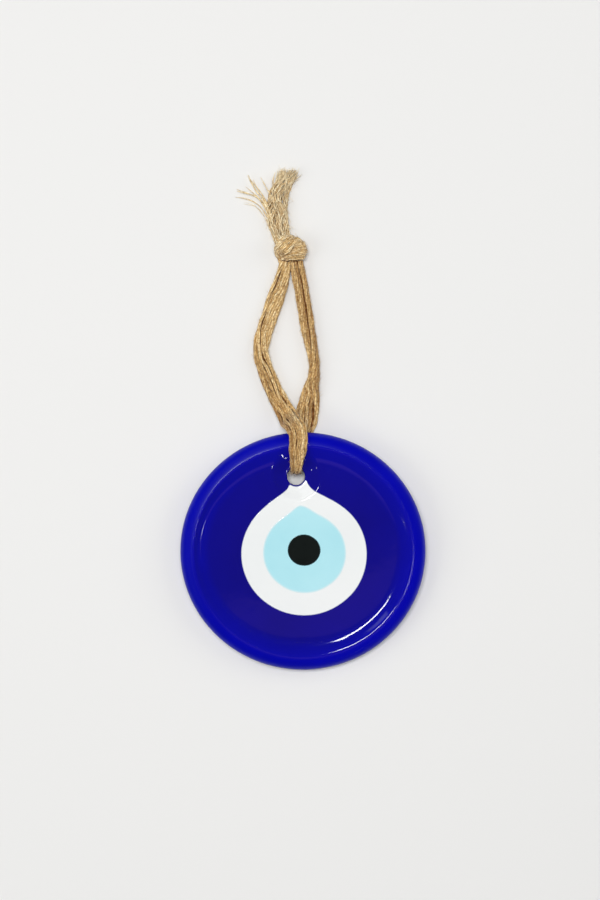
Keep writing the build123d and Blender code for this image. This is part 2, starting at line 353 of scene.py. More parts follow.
# the flat cord turns over slowly, so its fold line wanders across it
leg_d = s[turn]
twist = np.where(
    is_front,
    np.interp(y, [27, 36, 39.6, 43.7, 47.8, 52.4, 58, 62.3, 65.5, 70.9, 80, 94],
              [0.42, 0.44, 0.46, 0.43, 0.372, 0.312, 0.302, 0.197, 0.122, 0.052, 0.0, -0.02]),
    np.interp(y, [26, 36, 46, 60, 66, 72, 92], [0.45, 0.52, 0.62, 0.64, 0.61, 0.58, 0.58]),
)
twist = smooth(twist, 20)
on_floor = (y > 40.5) | ~is_front
low = thick + 0.55 * press + 0.05
path[:, 2] = np.where(on_floor & (y > 44), np.maximum(path[:, 2], low), path[:, 2])
under = ~is_front & (y <= 44)
path[:, 2] = np.where(under & (y > 28), np.maximum(path[:, 2], low), path[:, 2])
path[:, 2] = smooth(path[:, 2], 6)

# behind is 1 along the back leg beyond y 44 and 0 elsewhere; the yarn tint below subtracts it, so that leg is painted
# darker as painted shade.
behind = smooth(np.where(is_front | (y < 44), 0.0, 1.0), 20)
loop = Soup()
# A core tube inside the bundle, painted dark brown (low tint and deep): painted shade, standing in for the shaded
# inside of the cord seen through the gaps between the yarns.
inner = np.maximum(thick - 0.42, 0.22)
loop.tube(path, inner, 16, W, -0.35, deep=0.12, flat=np.maximum(half + thick - 0.55, 0.3) / inner)
anchors, hair_dirs, hair_outs = [], [], []
for j in range(YARNS):
    q = (j + 0.3) / (YARNS + 0.80) + twist + wander(n, STEP, 10, 0.016) + wander(n, STEP, 4, 0.005)
    a, b = stadium(q, half, thick)
    c = path + a[:, None] * W + b[:, None] * N
    c = c + wander(n, STEP, 4, 0.10)[:, None] * N + wander(n, STEP, 3.5, 0.08)[:, None] * W
    c[:, 2] = np.maximum(c[:, 2], 0.68 * press)
    for i in range(3):
        c[:, i] = smooth(c[:, i], 3)
    c[:, 2] = np.maximum(c[:, 2], 0.66 * press)
    fat = 1 + wander(n, STEP, 8, 0.07)
    shade = 0.31 + rng.normal(0, 0.23) - 0.25 * behind
    yarn(loop, c, W, shade, 0.55 * press * fat, STEP,
         pitch=rng.uniform(13, 19), plies=3)
    keep = ~((y < 36) & ~is_front) & (np.arange(n) > 12) & (np.arange(n) < n - 12)
    out = unit(a[:, None] * W * 0.35 + b[:, None] * N + 1e-6)
    anchors.append((c + out * 0.46)[keep])
    hair_dirs.append(T[keep])
    hair_outs.append(out[keep])
spots, aims, sides_out = np.concatenate(anchors), np.concatenate(hair_dirs), np.concatenate(hair_outs)
free = spots[:, 1] > 42.5
hairs(loop, spots[free], aims[free], sides_out[free], 2300, (0.5, 1.5), (0.016, 0.028), spread=0.6)
hairs(loop, spots, aims, sides_out, 2600, (0.5, 1.4), (0.026, 0.046), spread=0.12, tint=(-0.4, 1.8))
cord_loop = loop.mesh("cord_loop")

# ------------------------------------------------------------------------ the knot
def band(soup, points, widths, count, r=0.5, w_hint=(0, 1, 0), layer=0.0, hint_list=None, step=0.26, crown=0.55):
    """Yarns side by side along a line, as in one turn of the knot."""
    p, d = even(nurbs_line(points), step)
    m = len(p)
    f = d / d[-1]
    t = tangents(p)
    if hint_list is None:
        w = np.broadcast_to(np.array(w_hint, float), (m, 3))
    else:
        h = np.array(hint_list, float)
        x = np.linspace(0, 1, len(h))
        w = np.stack([np.interp(f, x, h[:, i]) for i in range(3)], -1)
    w = unit(w - (w * t).sum(-1, keepdims=True) * t)
    nn = np.cross(t, w)
    if nn[m // 2, 2] < 0:
        nn = -nn
    wid = np.interp(f, np.linspace(0, 1, len(widths)), widths)
    got = []
    for k in range(count):
        u = (k + 0.5) / count - 0.5
        u = u + wander(m, step, 6, 0.015)
        lift = wander(m, step, 5, 0.07) + layer
        lift = lift - crown * (2 * u) ** 2
        c = p + (u * wid)[:, None] * w + lift[:, None] * nn
        c[:, 2] = np.maximum(c[:, 2], 0.5)
        rr = np.minimum(r, wid / count * 0.62)
        yarn(soup, c, w, 0.54 + rng.normal(0, 0.26), rr, step, pitch=rng.uniform(8, 12), plies=3)
        got.append((c, t, nn))
    return got


knot = Soup()
got = []
# the wrap round both legs: it comes out from under the left lobe and goes round the right side
got += band(knot, [(-6.6, 95.9, 2.0), (-6.2, 96.4, 3.6), (-4.4, 96.9, 5.2), (-1.8, 97.4, 6.3),
                   (0.3, 98.0, 5.4), (1.2, 98.4, 3.2), (0.3, 98.6, 1.0)],
            [2.6, 3.2, 3.9, 4.8, 5.4, 5.4, 4.6], 7, w_hint=(0, 1, 0), crown=1.0)
# the bump at its upper right
got += band(knot, [(-5.0, 98.8, 4.2), (-3.2, 100.3, 6.0), (-1.2, 101.0, 5.8), (0.2, 100.6, 3.8), (0.2, 100.2, 1.6)],
            [2.6, 3.0, 3.2, 3.0, 2.6], 5, w_hint=(-0.3, 1, 0), crown=0.9)
# the left lobe, which lies over both and runs from the tails down to the left
got += band(knot, [(-3.0, 102.8, 2.4), (-3.8, 102.5, 4.8), (-5.2, 100.9, 7.0), (-6.8, 98.7, 7.0),
                   (-7.8, 98.0, 5.0), (-7.7, 96.7, 2.6), (-6.5, 95.6, 1.2)],
            [3.8, 4.6, 5.4, 5.3, 4.4, 3.6, 3.6], 6,
            hint_list=[(-1, 0.2, 0), (-0.9, 0.4, 0), (-0.75, 0.65, 0), (-0.7, 0.7, 0), (-0.8, 0.6, 0), (-1, 0.2, 0), (-1, 0, 0)])
# filling under the visible turns
got += band(knot, [(-2.3, 93.2, 1.5), (-2.5, 95.8, 2.8), (-3.4, 98.6, 3.6), (-5.4, 101.0, 3.4), (-6.6, 103.2, 2.4)],
            [4.4, 4.6, 5.0, 5.0, 5.0], 5, w_hint=(1, 0, 0))
got += band(knot, [(-6.3, 94.3, 1.4), (-6.0, 97.0, 2.0), (-5.8, 100.0, 2.0), (-6.6, 103.2, 1.6)],
            [3.4, 4.6, 5.2, 5.0], 5, w_hint=(1, 0, 0))
got += band(knot, [(-7.6, 97.4, 2.6), (-4.0, 98.8, 4.2), (-0.6, 99.4, 2.8)],
            [4.6, 5.6, 4.4], 5, w_hint=(0, 1, 0))
hairs(knot, np.concatenate([g[0] + g[2] * 0.4 for g in got]), np.concatenate([g[1] for g in got]),
      np.concatenate([g[2] for g in got]), 700, (0.7, 1.9), (0.026, 0.050), spread=0.22, tint=(-0.1, 1.4))
knot.tint = [v + 0.06 for v in knot.tint]      # the knot is a little paler than the legs
cord_knot = knot.mesh("cord_knot_turns")

# ------------------------------------------------------------------- frayed tails
tail = Soup()
Y_LEVELS = np.array([98.5, 101.2, 103.5, 106.0, 109.0, 113.0, 116.0, 119.0, 122.5, 125.4])
X_LEFT = np.array([-8.0, -9.0, -10.0, -11.0, -11.8, -12.1, -11.7, -10.2, -8.2, -6.8])
X_RIGHT = np.array([-4.2, -4.0, -4.4, -4.9, -5.2, -5.3, -5.2, -4.1, -2.4, -1.4])
tail_pts, tail_dir, tail_out = [], [], []
COUNT = 38
order = np.linspace(0.02, 0.98, COUNT)
for k in range(COUNT):
    u0 = order[k]
    top_y = 124.9 - 1.2 * abs(rng.normal()) - (0.8 if u0 > 0.7 else 0)
    lv = np.array([98.5, 102.0, 105.0, 108.0, 111.0, 114.0, 117.0, 120.0, top_y])
    amp, wl, ph = rng.uniform(0.16, 0.34), rng.uniform(13, 21), rng.uniform(0, 6.28)
    grow = np.interp(lv, [98.5, 103, 108], [0.0, 0.35, 1.0])
    us = np.clip(u0 + grow * amp * np.sin(2 * np.pi * (lv - 103) / wl + ph), 0.0, 1.0)
    lay = (k * 7 % COUNT) / COUNT
    top = 3.7 - 1.5 * abs(2 * us - 1) ** 2
    zs = 0.45 + lay * (top - 0.6) + rng.normal(0, 0.12, len(lv))
    zs[0] = 2.2 + lay * 2.0
    xs = np.interp(lv, Y_LEVELS, X_LEFT) * (1 - us) + np.interp(lv, Y_LEVELS, X_RIGHT) * us
    p, d = even(nurbs_line(np.stack([xs, lv, zs], -1)), 0.35)
    m = len(p)
    p = p + np.stack([wander(m, 0.35, 5, 0.10), np.zeros(m), wander(m, 0.35, 5, 0.10)], -1)
    p[:, 2] = np.maximum(p[:, 2], 0.3)
    ref = np.broadcast_to(np.array([0, 0, 1.0]), (m, 3))
    f = d / d[-1]
    rad = np.interp(f, [0, 0.2, 0.8, 0.93, 1.0], [0.36, 0.29, 0.27, 0.23, 0.11])
    tint = 0.46 + 0.66 * lay + rng.normal(0, 0.17)      # the strands underneath are in shade
    yarn(tail, p, ref, tint, rad, 0.35, pitch=11.0, sides=6)
    tail_pts.append(p + [0, 0, 0.25])
    tail_dir.append(tangents(p))
    tail_out.append(ref * 0.6 + rng.normal(0, 0.4, 3))
    # the end comes apart into fibres
    end, dirn = p[int(m * 0.86)], tangents(p)[int(m * 0.86)]
    for _ in range(7):
        dd = unit(dirn + rng.normal(0, 0.17, 3) * [1, 0.3, 0.7])
        ln = rng.uniform(2.4, 4.6)
        bend = rng.normal(0, 0.10, 3)
        g = np.linspace(0, 1, 7)[:, None]
        fp = end + rng.normal(0, 0.10, 3) + dd * ln * g + bend * ln * g * g
        fp[:, 1] = np.minimum(fp[:, 1], 126.4)
        fp[:, 2] = np.maximum(fp[:, 2], 0.1)
        tail.tube(fp, rng.uniform(0.05, 0.085) * np.array([1, 1, 1, 0.95, 0.9, 0.75, 0.4]), 4,
                  np.broadcast_to(unit(np.cross(dd, [0.2, 0.1, 1.0])), (7, 3)),
                  tint + rng.normal(0, 0.1), deep=0.8, start=rng.uniform(0, 500))

# strands that have come loose on the left
LOOSE = [
    ([(-9.6, 107.0, 2.4), (-11.6, 112.2, 2.8), (-13.4, 115.6, 2.6), (-16.0, 119.0, 1.8), (-18.3, 123.0, 1.3)], 0.22),
    ([(-9.9, 108.5, 2.2), (-11.8, 113.6, 2.6), (-13.4, 116.9, 2.4), (-15.2, 119.2, 1.9), (-16.4, 121.4, 1.6)], 0.17),
    ([(-10.4, 107.5, 1.8), (-12.4, 112.4, 2.0), (-14.6, 115.8, 1.8), (-18.0, 117.4, 1.3), (-21.6, 118.2, 0.9)], 0.19),
    ([(-10.6, 106.8, 1.4), (-12.6, 111.4, 1.6), (-15.2, 114.4, 1.4), (-18.8, 115.6, 0.9), (-22.0, 116.0, 0.6)], 0.10),
    ([(-10.9, 109.5, 1.5), (-12.9, 113.6, 1.8), (-15.2, 116.4, 1.6), (-17.2, 118.0, 1.2), (-18.8, 119.4, 0.9)], 0.11),
    ([(-9.4, 113.0, 2.6), (-10.4, 116.6, 2.9), (-11.6, 119.0, 2.6), (-12.8, 120.9, 2.1), (-13.9, 122.2, 1.8)], 0.12),
    ([(-8.8, 114.0, 2.8), (-9.4, 117.6, 3.0), (-9.9, 120.0, 2.6), (-9.9, 122.0, 2.2), (-9.4, 123.8, 1.9)], 0.13),
    ([(-10.8, 106.0, 1.1), (-12.6, 109.6, 1.2), (-14.2, 112.0, 1.0), (-16.8, 113.6, 0.7), (-19.6, 114.2, 0.5)], 0.07),
]
for pts, rr in LOOSE:
    rr *= 1.45
    for c in range(3 if rr > 0.2 else 2):
        jit = np.array(pts) + rng.normal(0, 0.12, (len(pts), 3)) * np.linspace(0.3, 2.2, len(pts))[:, None]
        jit[:, 2] = np.maximum(jit[:, 2], 0.3)
        p, d = even(nurbs_line(jit), 0.4)
        m = len(p)
        p = p + np.stack([wander(m, 0.4, 4, 0.06), wander(m, 0.4, 4, 0.06), wander(m, 0.4, 4, 0.05)], -1)
        p[:, 2] = np.maximum(p[:, 2], 0.15)
        f = d / d[-1]
        tail.tube(p, rr * np.interp(f, [0, 0.7, 1], [0.75, 0.62, 0.2]), 5,
                  np.broadcast_to(np.array([0, 0, 1.0]), (m, 3)), 0.6 + rng.normal(0, 0.1),
                  deep=0.8, start=rng.uniform(0, 500))
hairs(tail, np.concatenate(tail_pts), np.concatenate(tail_dir), np.concatenate(tail_out),
      900, (1.0, 3.0), (0.026, 0.05), spread=0.45, tint=(0.1, 1.4))
tail.tint = [v + 0.28 for v in tail.tint]
cord_tails = tail.mesh("cord_tails_frayed")

# ------------------------------------------------------------------ glass surfaces
def outline_r(phi):
    """Radius of the disc's oval outline at the angle phi about its middle."""
    return 1 / np.sqrt((np.cos(phi) / HALF_X) ** 2 + (np.sin(phi) / HALF_Y) ** 2)


def inset_of(x, y):
    return outline_r(np.arctan2(y, x)) - np.hypot(x, y)


def sstep(x):
    x = np.clip(x, 0, 1)
    return x * x * x * (x * (6 * x - 15) + 10)


def soft_min(a, b, k):
    h = np.clip(0.5 + 0.5 * (b - a) / k, 0, 1)
    return b * (1 - h) + a * h - k * h * (1 - h)


CREST = 5.0


def rim_shape(s_in):
    """The rim's rounded upper side, from 0 at the outline to 1 at the crest."""
    g = np.clip((CREST - s_in) / CREST, 0, 1)
    return np.sqrt(np.maximum(1 - g**2.5, 0))


def face_height(x, y):
    """Height of the glass front above the disc's back, in mm."""
    s_in = inset_of(x, y)
    phi = np.arctan2(y, x)
    bull = 4.1 + RIM_R * rim_shape(s_in)
    lean = np.mod(phi + np.radians(85) + np.pi, 2 * np.pi) - np.pi
    side = np.mod(phi - np.radians(172) + np.pi, 2 * np.pi) - np.pi
    east = np.mod(phi + np.radians(12) + np.pi, 2 * np.pi) - np.pi
    foot = 10.4 + 1.3 * np.exp(-(lean / np.radians(36)) ** 2)
    foot = foot - 3.3 * np.exp(-(side / np.radians(40)) ** 2) - 0.6 * np.exp(-(east / np.radians(26)) ** 2)
    run = np.clip((s_in - 4.4) / (foot - 4.4), 0, 1) ** 0.62
    dish = (RIM_T - FACE_W) * sstep(run)
    wave = 0.035 * np.sin(x * 0.11 + 0.7) * np.cos(y * 0.13 - 0.4) + 0.008 * np.sin(x * 0.31 - y * 0.22)
    w = bull - dish + wave * sstep(s_in / 6) - 0.06 * sstep((s_in - 12) / 26)
    d = np.hypot(x - HOLE_X, y - HOLE_Y)
    crater = 5.0 + 0.174 * np.maximum(d - 3.3, 0) ** 1.534
    return soft_min(w, crater, 0.55)


def glass_mesh(name, verts, quads, attrs):
    me = bpy.data.meshes.new(name)
    me.from_pydata([tuple(v) for v in verts * MM], [], [tuple(int(i) for i in q) for q in quads])
    for key, vals in attrs.items():
        at = me.attributes.new(key, "FLOAT", "POINT")
        at.data.foreach_set("value", np.asarray(vals, np.float32))
    me.shade_smooth()
    me.validate()
    ob = bpy.data.objects.new(name, me)
    scene.collection.objects.link(ob)
    return ob


def ring_quads(rows, cols, close_rows=False):
    i = np.arange(rows if close_rows else rows - 1)[:, None]
    j = np.arange(cols)[None, :]
    i2, j2 = (i + 1) % rows, (j + 1) % cols
    return np.stack(np.broadcast_arrays(i * cols + j, i * cols + j2, i2 * cols + j2, i2 * cols + j), -1).reshape(-1, 4)


# the blue disc: rings from the hole out over the face, round the rim and back
COLS = 840
th = np.arange(COLS) * 2 * np.pi / COLS
dx, dy = np.cos(th), np.sin(th)


def ray_to_inset(target):
    """Distance from the hole's axis, along each ray, to where the inset equals target."""
    lo, hi = np.full(COLS, 0.0), np.full(COLS, 90.0)
    for _ in range(48):
        mid = (lo + hi) / 2
        inside = inset_of(HOLE_X + dx * mid, HOLE_Y + dy * mid) > target
        lo, hi = np.where(inside, mid, lo), np.where(inside, hi, mid)
    return (lo + hi) / 2


rings = []
lip_in = inset_of(HOLE_X + dx * 3.5, HOLE_Y + dy * 3.5)
start_in = np.minimum(12.0, 0.75 * lip_in + 0.25 * CREST)
reach = ray_to_inset(start_in)
LIP = 0.45
for g in np.linspace(0, 1, 7)[:-1]:      # the rounded lip, up out of the hole
    a = g * np.pi / 2
    d = HOLE_R + LIP * (1 - np.cos(a))
    top = face_height(HOLE_X + dx * (HOLE_R + LIP), HOLE_Y + dy * (HOLE_R + LIP))
    rings.append(np.stack([HOLE_X + dx * d, HOLE_Y + dy * d, top - LIP * (1 - np.sin(a))], -1))
ROWS = 110
for u in np.linspace(0, 1, ROWS):
    d = (HOLE_R + LIP) + (reach - HOLE_R - LIP) * u ** 1.25
    x, yy = HOLE_X + dx * d, HOLE_Y + dy * d
    rings.append(np.stack([x, yy, face_height(x, yy)], -1))
for u in np.linspace(0, 1, 80)[1:]:      # across the slope, up to the crest
    d = ray_to_inset(start_in + (CREST - start_in) * u)
    x, yy = HOLE_X + dx * d, HOLE_Y + dy * d
    rings.append(np.stack([x, yy, face_height(x, yy)], -1))
for a in np.linspace(0, np.pi / 2, 44)[1:]:    # the rounded rim, out to its outline
    d = ray_to_inset(max(CREST * (1 - np.sin(a)), 1e-4))
    x, yy = HOLE_X + dx * d, HOLE_Y + dy * d
    w = face_height(x, yy) if a < np.pi / 2 - 1e-6 else np.full(COLS, 4.1)
    rings.append(np.stack([x, yy, w], -1))
for a in np.linspace(0, np.pi / 2, 22)[1:]:    # and under it, to the flat back
    d = ray_to_inset(max(RIM_R * (1 - np.cos(a)), 1e-4))
    x, yy = HOLE_X + dx * d, HOLE_Y + dy * d
    rings.append(np.stack([x, yy, np.full(COLS, 4.1 * (1 - np.sin(a)))], -1))
reach = ray_to_inset(RIM_R)
for u in np.linspace(0, 1, 30)[1:]:      # the flat back
    d = reach + (HOLE_R + 0.6 - reach) * u
    x, yy = HOLE_X + dx * d, HOLE_Y + dy * d
    rough = 0.03 * (1 + np.sin(x * 0.5) * np.cos(yy * 0.43)) * sstep((1 - u) * 4) * sstep(u * 8)
    rings.append(np.stack([x, yy, rough], -1))
for g in np.linspace(0, 1, 5)[1:]:
    a = g * np.pi / 2
    d = HOLE_R + 0.6 * (1 - np.sin(a))
    rings.append(np.stack([HOLE_X + dx * d, HOLE_Y + dy * d, np.full(COLS, 0.6 * (1 - np.cos(a)))], -1))
for u in np.linspace(0, 1, 8)[1:-1]:
    top = face_height(HOLE_X + dx * (HOLE_R + LIP), HOLE_Y + dy * (HOLE_R + LIP)) - LIP
    rings.append(np.stack([HOLE_X + dx * HOLE_R, HOLE_Y + dy * HOLE_R, 0.6 + (top - 0.6) * u], -1))
rings = np.array(rings)
flat = rings.reshape(-1, 3)
quads = ring_quads(len(rings), COLS, close_rows=True)
inset_v = inset_of(flat[:, 0], flat[:, 1])
hole_v = np.hypot(flat[:, 0] - HOLE_X, flat[:, 1] - HOLE_Y)
glass = glass_mesh(
    "blue_glass_disc", disc(flat[:, 0], flat[:, 1], flat[:, 2]), quads,
    {"inset": inset_v, "hole": hole_v, "height": flat[:, 2]},
)


def polar_spline(nodes):
    """A smooth closed outline, radius by angle, through (degrees, radius) nodes."""
    a = np.radians([p[0] for p in nodes])
    r = np.array([p[1] for p in nodes], float)
    m = len(a)
    ax = np.concatenate([a - 2 * np.pi, a, a + 2 * np.pi])
    rx = np.concatenate([r, r, r])
    h = np.diff(ax)
    dl = np.diff(rx) / h
    slope = np.zeros_like(rx)
    for i in range(1, len(rx) - 1):
        if dl[i - 1] * dl[i] > 0:
            w1, w2 = 2 * h[i] + h[i - 1], h[i] + 2 * h[i - 1]
            slope[i] = (w1 + w2) / (w1 / dl[i - 1] + w2 / dl[i])

    def radius(phi):
        phi = np.mod(phi, 2 * np.pi)
        i = np.clip(np.searchsorted(ax, phi) - 1, 0, len(ax) - 2)
        t = (phi - ax[i]) / h[i]
        return (
            rx[i] * (2 * t**3 - 3 * t**2 + 1)
            + slope[i] * h[i] * (t**3 - 2 * t**2 + t)
            + rx[i + 1] * (-2 * t**3 + 3 * t**2)
            + slope[i + 1] * h[i] * (t**3 - t**2)
        )

    return radius


WHITE_NODES = [(0, 20.31), (20, 20.18), (40, 19.92), (52, 19.70), (60, 19.66), (66, 19.72), (72, 19.95), (77, 20.30),
               (81, 20.75), (84.5, 21.6), (87, 22.6), (89, 24.2), (93, 26.5), (98, 26.0), (101.5, 23.6), (104, 22.1), (107, 21.4), (111, 20.9),
               (120, 20.31), (132, 20.05), (150, 20.24), (180, 20.63), (210, 20.55), (240, 20.31), (270, 20.2), (300, 20.18), (330, 20.36)]
LIGHT_NODES = [(0, 13.5), (30, 13.42), (50, 13.27), (60, 13.25), (70, 13.42), (78, 13.9), (86, 14.75), (92, 15.4), (96, 15.6), (100, 15.3),
               (108, 14.35), (118, 13.72), (130, 13.55), (150, 13.62), (180, 13.75), (210, 13.6), (240, 13.36), (270, 13.29), (300, 13.32), (330, 13.55)]
PUPIL_NODES = [(0, 5.28), (60, 5.22), (90, 5.35), (150, 5.58), (180, 5.6), (210, 5.42), (240, 5.2), (270, 5.03), (330, 5.14)]


def drop(name, centre, nodes, lift, depth, soft, trim=False, cols=720):
    """A layer of coloured glass let into the face, a hair proud, with a melted edge."""
    phi = np.arange(cols) * 2 * np.pi / cols
    rad = polar_spline(nodes)(phi)
    cx, cy = centre
    if trim:      # blue glass is left between the drop's point and the hole
        ring = HOLE_R + 0.36
        ux, uy = np.cos(phi), np.sin(phi)
        ox, oy = cx - HOLE_X, cy - HOLE_Y
        bq = ox * ux + oy * uy
        disc_q = bq * bq - (ox * ox + oy * oy - ring * ring)
        hit = np.where(disc_q > 0, -bq - np.sqrt(np.maximum(disc_q, 0)), 1e9)
        hit = np.where(hit > 0, hit, 1e9)
        rad = np.minimum(rad, hit)
        k = np.array([1, 2, 3, 2, 1], float) / 9
        rad = np.convolve(np.r_[rad[-2:], rad, rad[:2]], k, "valid")
    rows = []
    for u in np.linspace(0.015, 1, 54):
        v = 1 - (1 - u) ** 1.25
        r = (rad - 0.22) * v
        x, yy = cx + r * np.cos(phi), cy + r * np.sin(phi)
        rows.append((x, yy, face_height(x, yy) + lift, rad - r))
    for a in np.linspace(0, np.pi / 2, 6)[1:]:
        r = rad - 0.22 + 0.22 * np.sin(a)
        x, yy = cx + r * np.cos(phi), cy + r * np.sin(phi)
        rows.append((x, yy, face_height(x, yy) + lift - (lift + 0.03) * (1 - np.cos(a)), rad - r))
    for w in (0.25, 0.6):
        x, yy = cx + rad * np.cos(phi), cy + rad * np.sin(phi)
        rows.append((x, yy, face_height(x, yy) - w * depth, np.zeros(cols)))
    for v in (0.92, 0.7, 0.4, 0.1):
        x, yy = cx + rad * v * np.cos(phi), cy + rad * v * np.sin(phi)
        rows.append((x, yy, np.minimum(face_height(x, yy), FACE_W) - depth, rad * (1 - v)))
    P = np.array([[r[0], r[1], r[2]] for r in rows]).transpose(0, 2, 1)
    E = np.array([np.broadcast_to(r[3], (cols,)) for r in rows])
    flat = P.reshape(-1, 3)
    q = ring_quads(len(rows), cols)
    top_c, bot_c = len(flat), len(flat) + 1
    centre_top = [cx, cy, float(face_height(np.array([cx]), np.array([cy]))[0]) + lift]
    flat = np.vstack([flat, centre_top, [cx, cy, FACE_W - depth]])
    j = np.arange(cols)
    k = (j + 1) % cols
    tri_top = np.stack([np.full(cols, top_c), j, k], -1)
    last = (len(rows) - 1) * cols
    tri_bot = np.stack([np.full(cols, bot_c), last + k, last + j], -1)
    world = disc(flat[:, 0], flat[:, 1], flat[:, 2]) * MM
    me = bpy.data.meshes.new(name)
    faces = [tuple(int(i) for i in f[::-1]) for f in q] + [tuple(int(i) for i in f) for f in tri_top] + [tuple(int(i) for i in f) for f in tri_bot]
    me.from_pydata([tuple(v) for v in world], [], faces)
    at = me.attributes.new("edge", "FLOAT", "POINT")
    at.data.foreach_set("value", np.r_[E.ravel(), 99, 99].astype(np.float32))
    me.shade_smooth()
    me.validate()
    import bmesh
    bm = bmesh.new()
    bm.from_mesh(me)
    bmesh.ops.recalc_face_normals(bm, faces=bm.faces)
    bm.to_mesh(me)
    bm.free()
    ob = bpy.data.objects.new(name, me)
    scene.collection.objects.link(ob)
    return ob


white = drop("white_glass_drop", (0.5, -0.61), WHITE_NODES, 0.05, 2.0, 0.2, trim=True)
light = drop("light_blue_glass_drop", (0.64, -0.29), LIGHT_NODES, 0.085, 1.2, 0.4)
dark = drop("pupil_glass_spot", (0.54, 0.4), PUPIL_NODES, 0.12, 0.8, 0.2, cols=360)

import bmesh
bm = bmesh.new()
bm.from_mesh(glass.data)
bmesh.ops.recalc_face_normals(bm, faces=bm.faces)
bm.to_mesh(glass.data)
bm.free()


# ---------------------------------------------------------------------- materials
def new_material(name):
    m = bpy.data.materials.new(name)
    m.use_nodes = True
    nt = m.node_tree
    bsdf = nt.nodes["Principled BSDF"]
    return m, nt, bsdf


def node(nt, kind, **props):
    nd = nt.nodes.new(kind)
    for k, v in props.items():
        setattr(nd, k, v)
    return nd


def attribute(nt, name):
    nd = node(nt, "ShaderNodeAttribute")
    nd.attribute_name = name
    return nd.outputs["Fac"]


def ramp(nt, fac, stops):
    nd = node(nt, "ShaderNodeValToRGB")
    cr = nd.color_ramp
    while len(cr.elements) > 1:
        cr.elements.remove(cr.elements[-1])
    cr.elements[0].position, cr.elements[0].color = stops[0][0], (*stops[0][1], 1)
    for p, c in stops[1:]:
        e = cr.elements.new(p)
        e.color = (*c, 1)
    nt.links.new(fac, nd.inputs["Fac"])
    return nd.outputs["Color"]


def maths(nt, op, a, b=None, clamp=False):
    nd = node(nt, "ShaderNodeMath", operation=op, use_clamp=clamp)
    for i, v in enumerate((a, b)):
        if v is None:
            continue
        if isinstance(v, (int, float)):
            nd.inputs[i].default_value = v
        else:
            nt.links.new(v, nd.inputs[i])
    return nd.outputs[0]


def mix(nt, fac, a, b, blend="MIX"):
    nd = node(nt, "ShaderNodeMix", data_type="RGBA", blend_type=blend)
    for sock, v in ((nd.inputs["Factor"], fac), (nd.inputs["A"], a), (nd.inputs["B"], b)):
        if isinstance(v, (int, float)):
            sock.default_value = v
        elif isinstance(v, tuple):
            sock.default_value = (*v, 1)
        else:
            nt.links.new(v, sock)
    return nd.outputs["Result"]


def noise(nt, vector, scale, detail=3.0, rough=0.55):
    nd = node(nt, "ShaderNodeTexNoise")
    nd.inputs["Scale"].default_value = scale
    nd.inputs["Detail"].default_value = detail
    nd.inputs["Roughness"].default_value = rough
    if vector is not None:
        nt.links.new(vector, nd.inputs["Vector"])
    return nd.outputs["Fac"]


def bump(nt, height, strength, distance, bsdf):
    nd = node(nt, "ShaderNodeBump")
    nd.inputs["Strength"].default_value = strength
    nd.inputs["Distance"].default_value = distance
    nt.links.new(height, nd.inputs["Height"])
    nt.links.new(nd.outputs["Normal"], bsdf.inputs["Normal"])


def object_coords(nt):
    return node(nt, "ShaderNodeTexCoord").outputs["Object"]


def glass_finish(nt, bsdf, waves=0.0004, worn=None):
    """Fire-polished glass: glossy, with a faint flow in the surface."""
    co = object_coords(nt)
    slow = noise(nt, co, 55.0, 2.0)
    fine = noise(nt, co, 420.0, 2.0)
    both = maths(nt, "ADD", slow, maths(nt, "MULTIPLY", fine, 0.12))
    bump(nt, both, 0.35, waves, bsdf)
    rough = maths(nt, "ADD", maths(nt, "MULTIPLY", noise(nt, co, 180.0, 4.0), 0.035), 0.03)
    if worn is not None:
        rough = maths(nt, "ADD", rough, worn)
    nt.links.new(rough, bsdf.inputs["Roughness"])
    bsdf.inputs["IOR"].default_value = 1.5


cobalt, nt, bsdf = new_material("cobalt_glass")
s_in = attribute(nt, "inset")
co = object_coords(nt)
jitter = maths(nt, "MULTIPLY", maths(nt, "SUBTRACT", noise(nt, co, 60.0, 3.0), 0.5), 3.0)
d_in = maths(nt, "DIVIDE", maths(nt, "ADD", s_in, jitter), 20.0, clamp=True)
# painted light: the blue is brightest at the outline and turns darker violet-blue over the thicker face, standing in
# for light passing through the thinner rim glass
col = ramp(nt, d_in, [
    (0.0, (0.004, 0.007, 0.415)),
    (0.06, (0.001, 0.002, 0.395)),
    (0.22, (0.0008, 0.0006, 0.355)),
    (0.40, (0.0010, 0.0006, 0.290)),
    (0.50, (0.0024, 0.0010, 0.240)),
    (1.0, (0.0034, 0.0013, 0.215)),
])
cloud = ramp(nt, noise(nt, co, 38.0, 4.0), [(0.3, (0.88, 0.88, 0.88)), (0.7, (1.08, 1.08, 1.08))])
col = mix(nt, 1.0, col, cloud, "MULTIPLY")
nt.links.new(col, bsdf.inputs["Base Color"])
worn = maths(nt, "MULTIPLY", maths(nt, "SUBTRACT", 4.35, s_in), 1.6, clamp=True)
glass_finish(nt, bsdf, 0.00025, maths(nt, "MULTIPLY", worn, 0.30))
nt.links.new(maths(nt, "SUBTRACT", 0.5, maths(nt, "MULTIPLY", worn, 0.38)), bsdf.inputs["Specular IOR Level"])
glass.data.materials.append(cobalt)

white_m, nt, bsdf = new_material("white_glass")
edge = attribute(nt, "edge")
co = object_coords(nt)
milky = ramp(nt, noise(nt, co, 45.0, 3.0), [(0.3, (0.845, 0.87, 0.865)), (0.7, (0.875, 0.895, 0.885))])
rim_f = maths(nt, "DIVIDE", edge, 0.42, clamp=True)
rim_c = ramp(nt, rim_f, [(0.0, (0.01, 0.008, 0.20)), (0.35, (0.22, 0.24, 0.46)), (0.75, (0.76, 0.79, 0.82)), (1.0, (0.88, 0.90, 0.895))])
nt.links.new(mix(nt, rim_f, rim_c, milky), bsdf.inputs["Base Color"])
glass_finish(nt, bsdf, 0.0003)
white.data.materials.append(white_m)

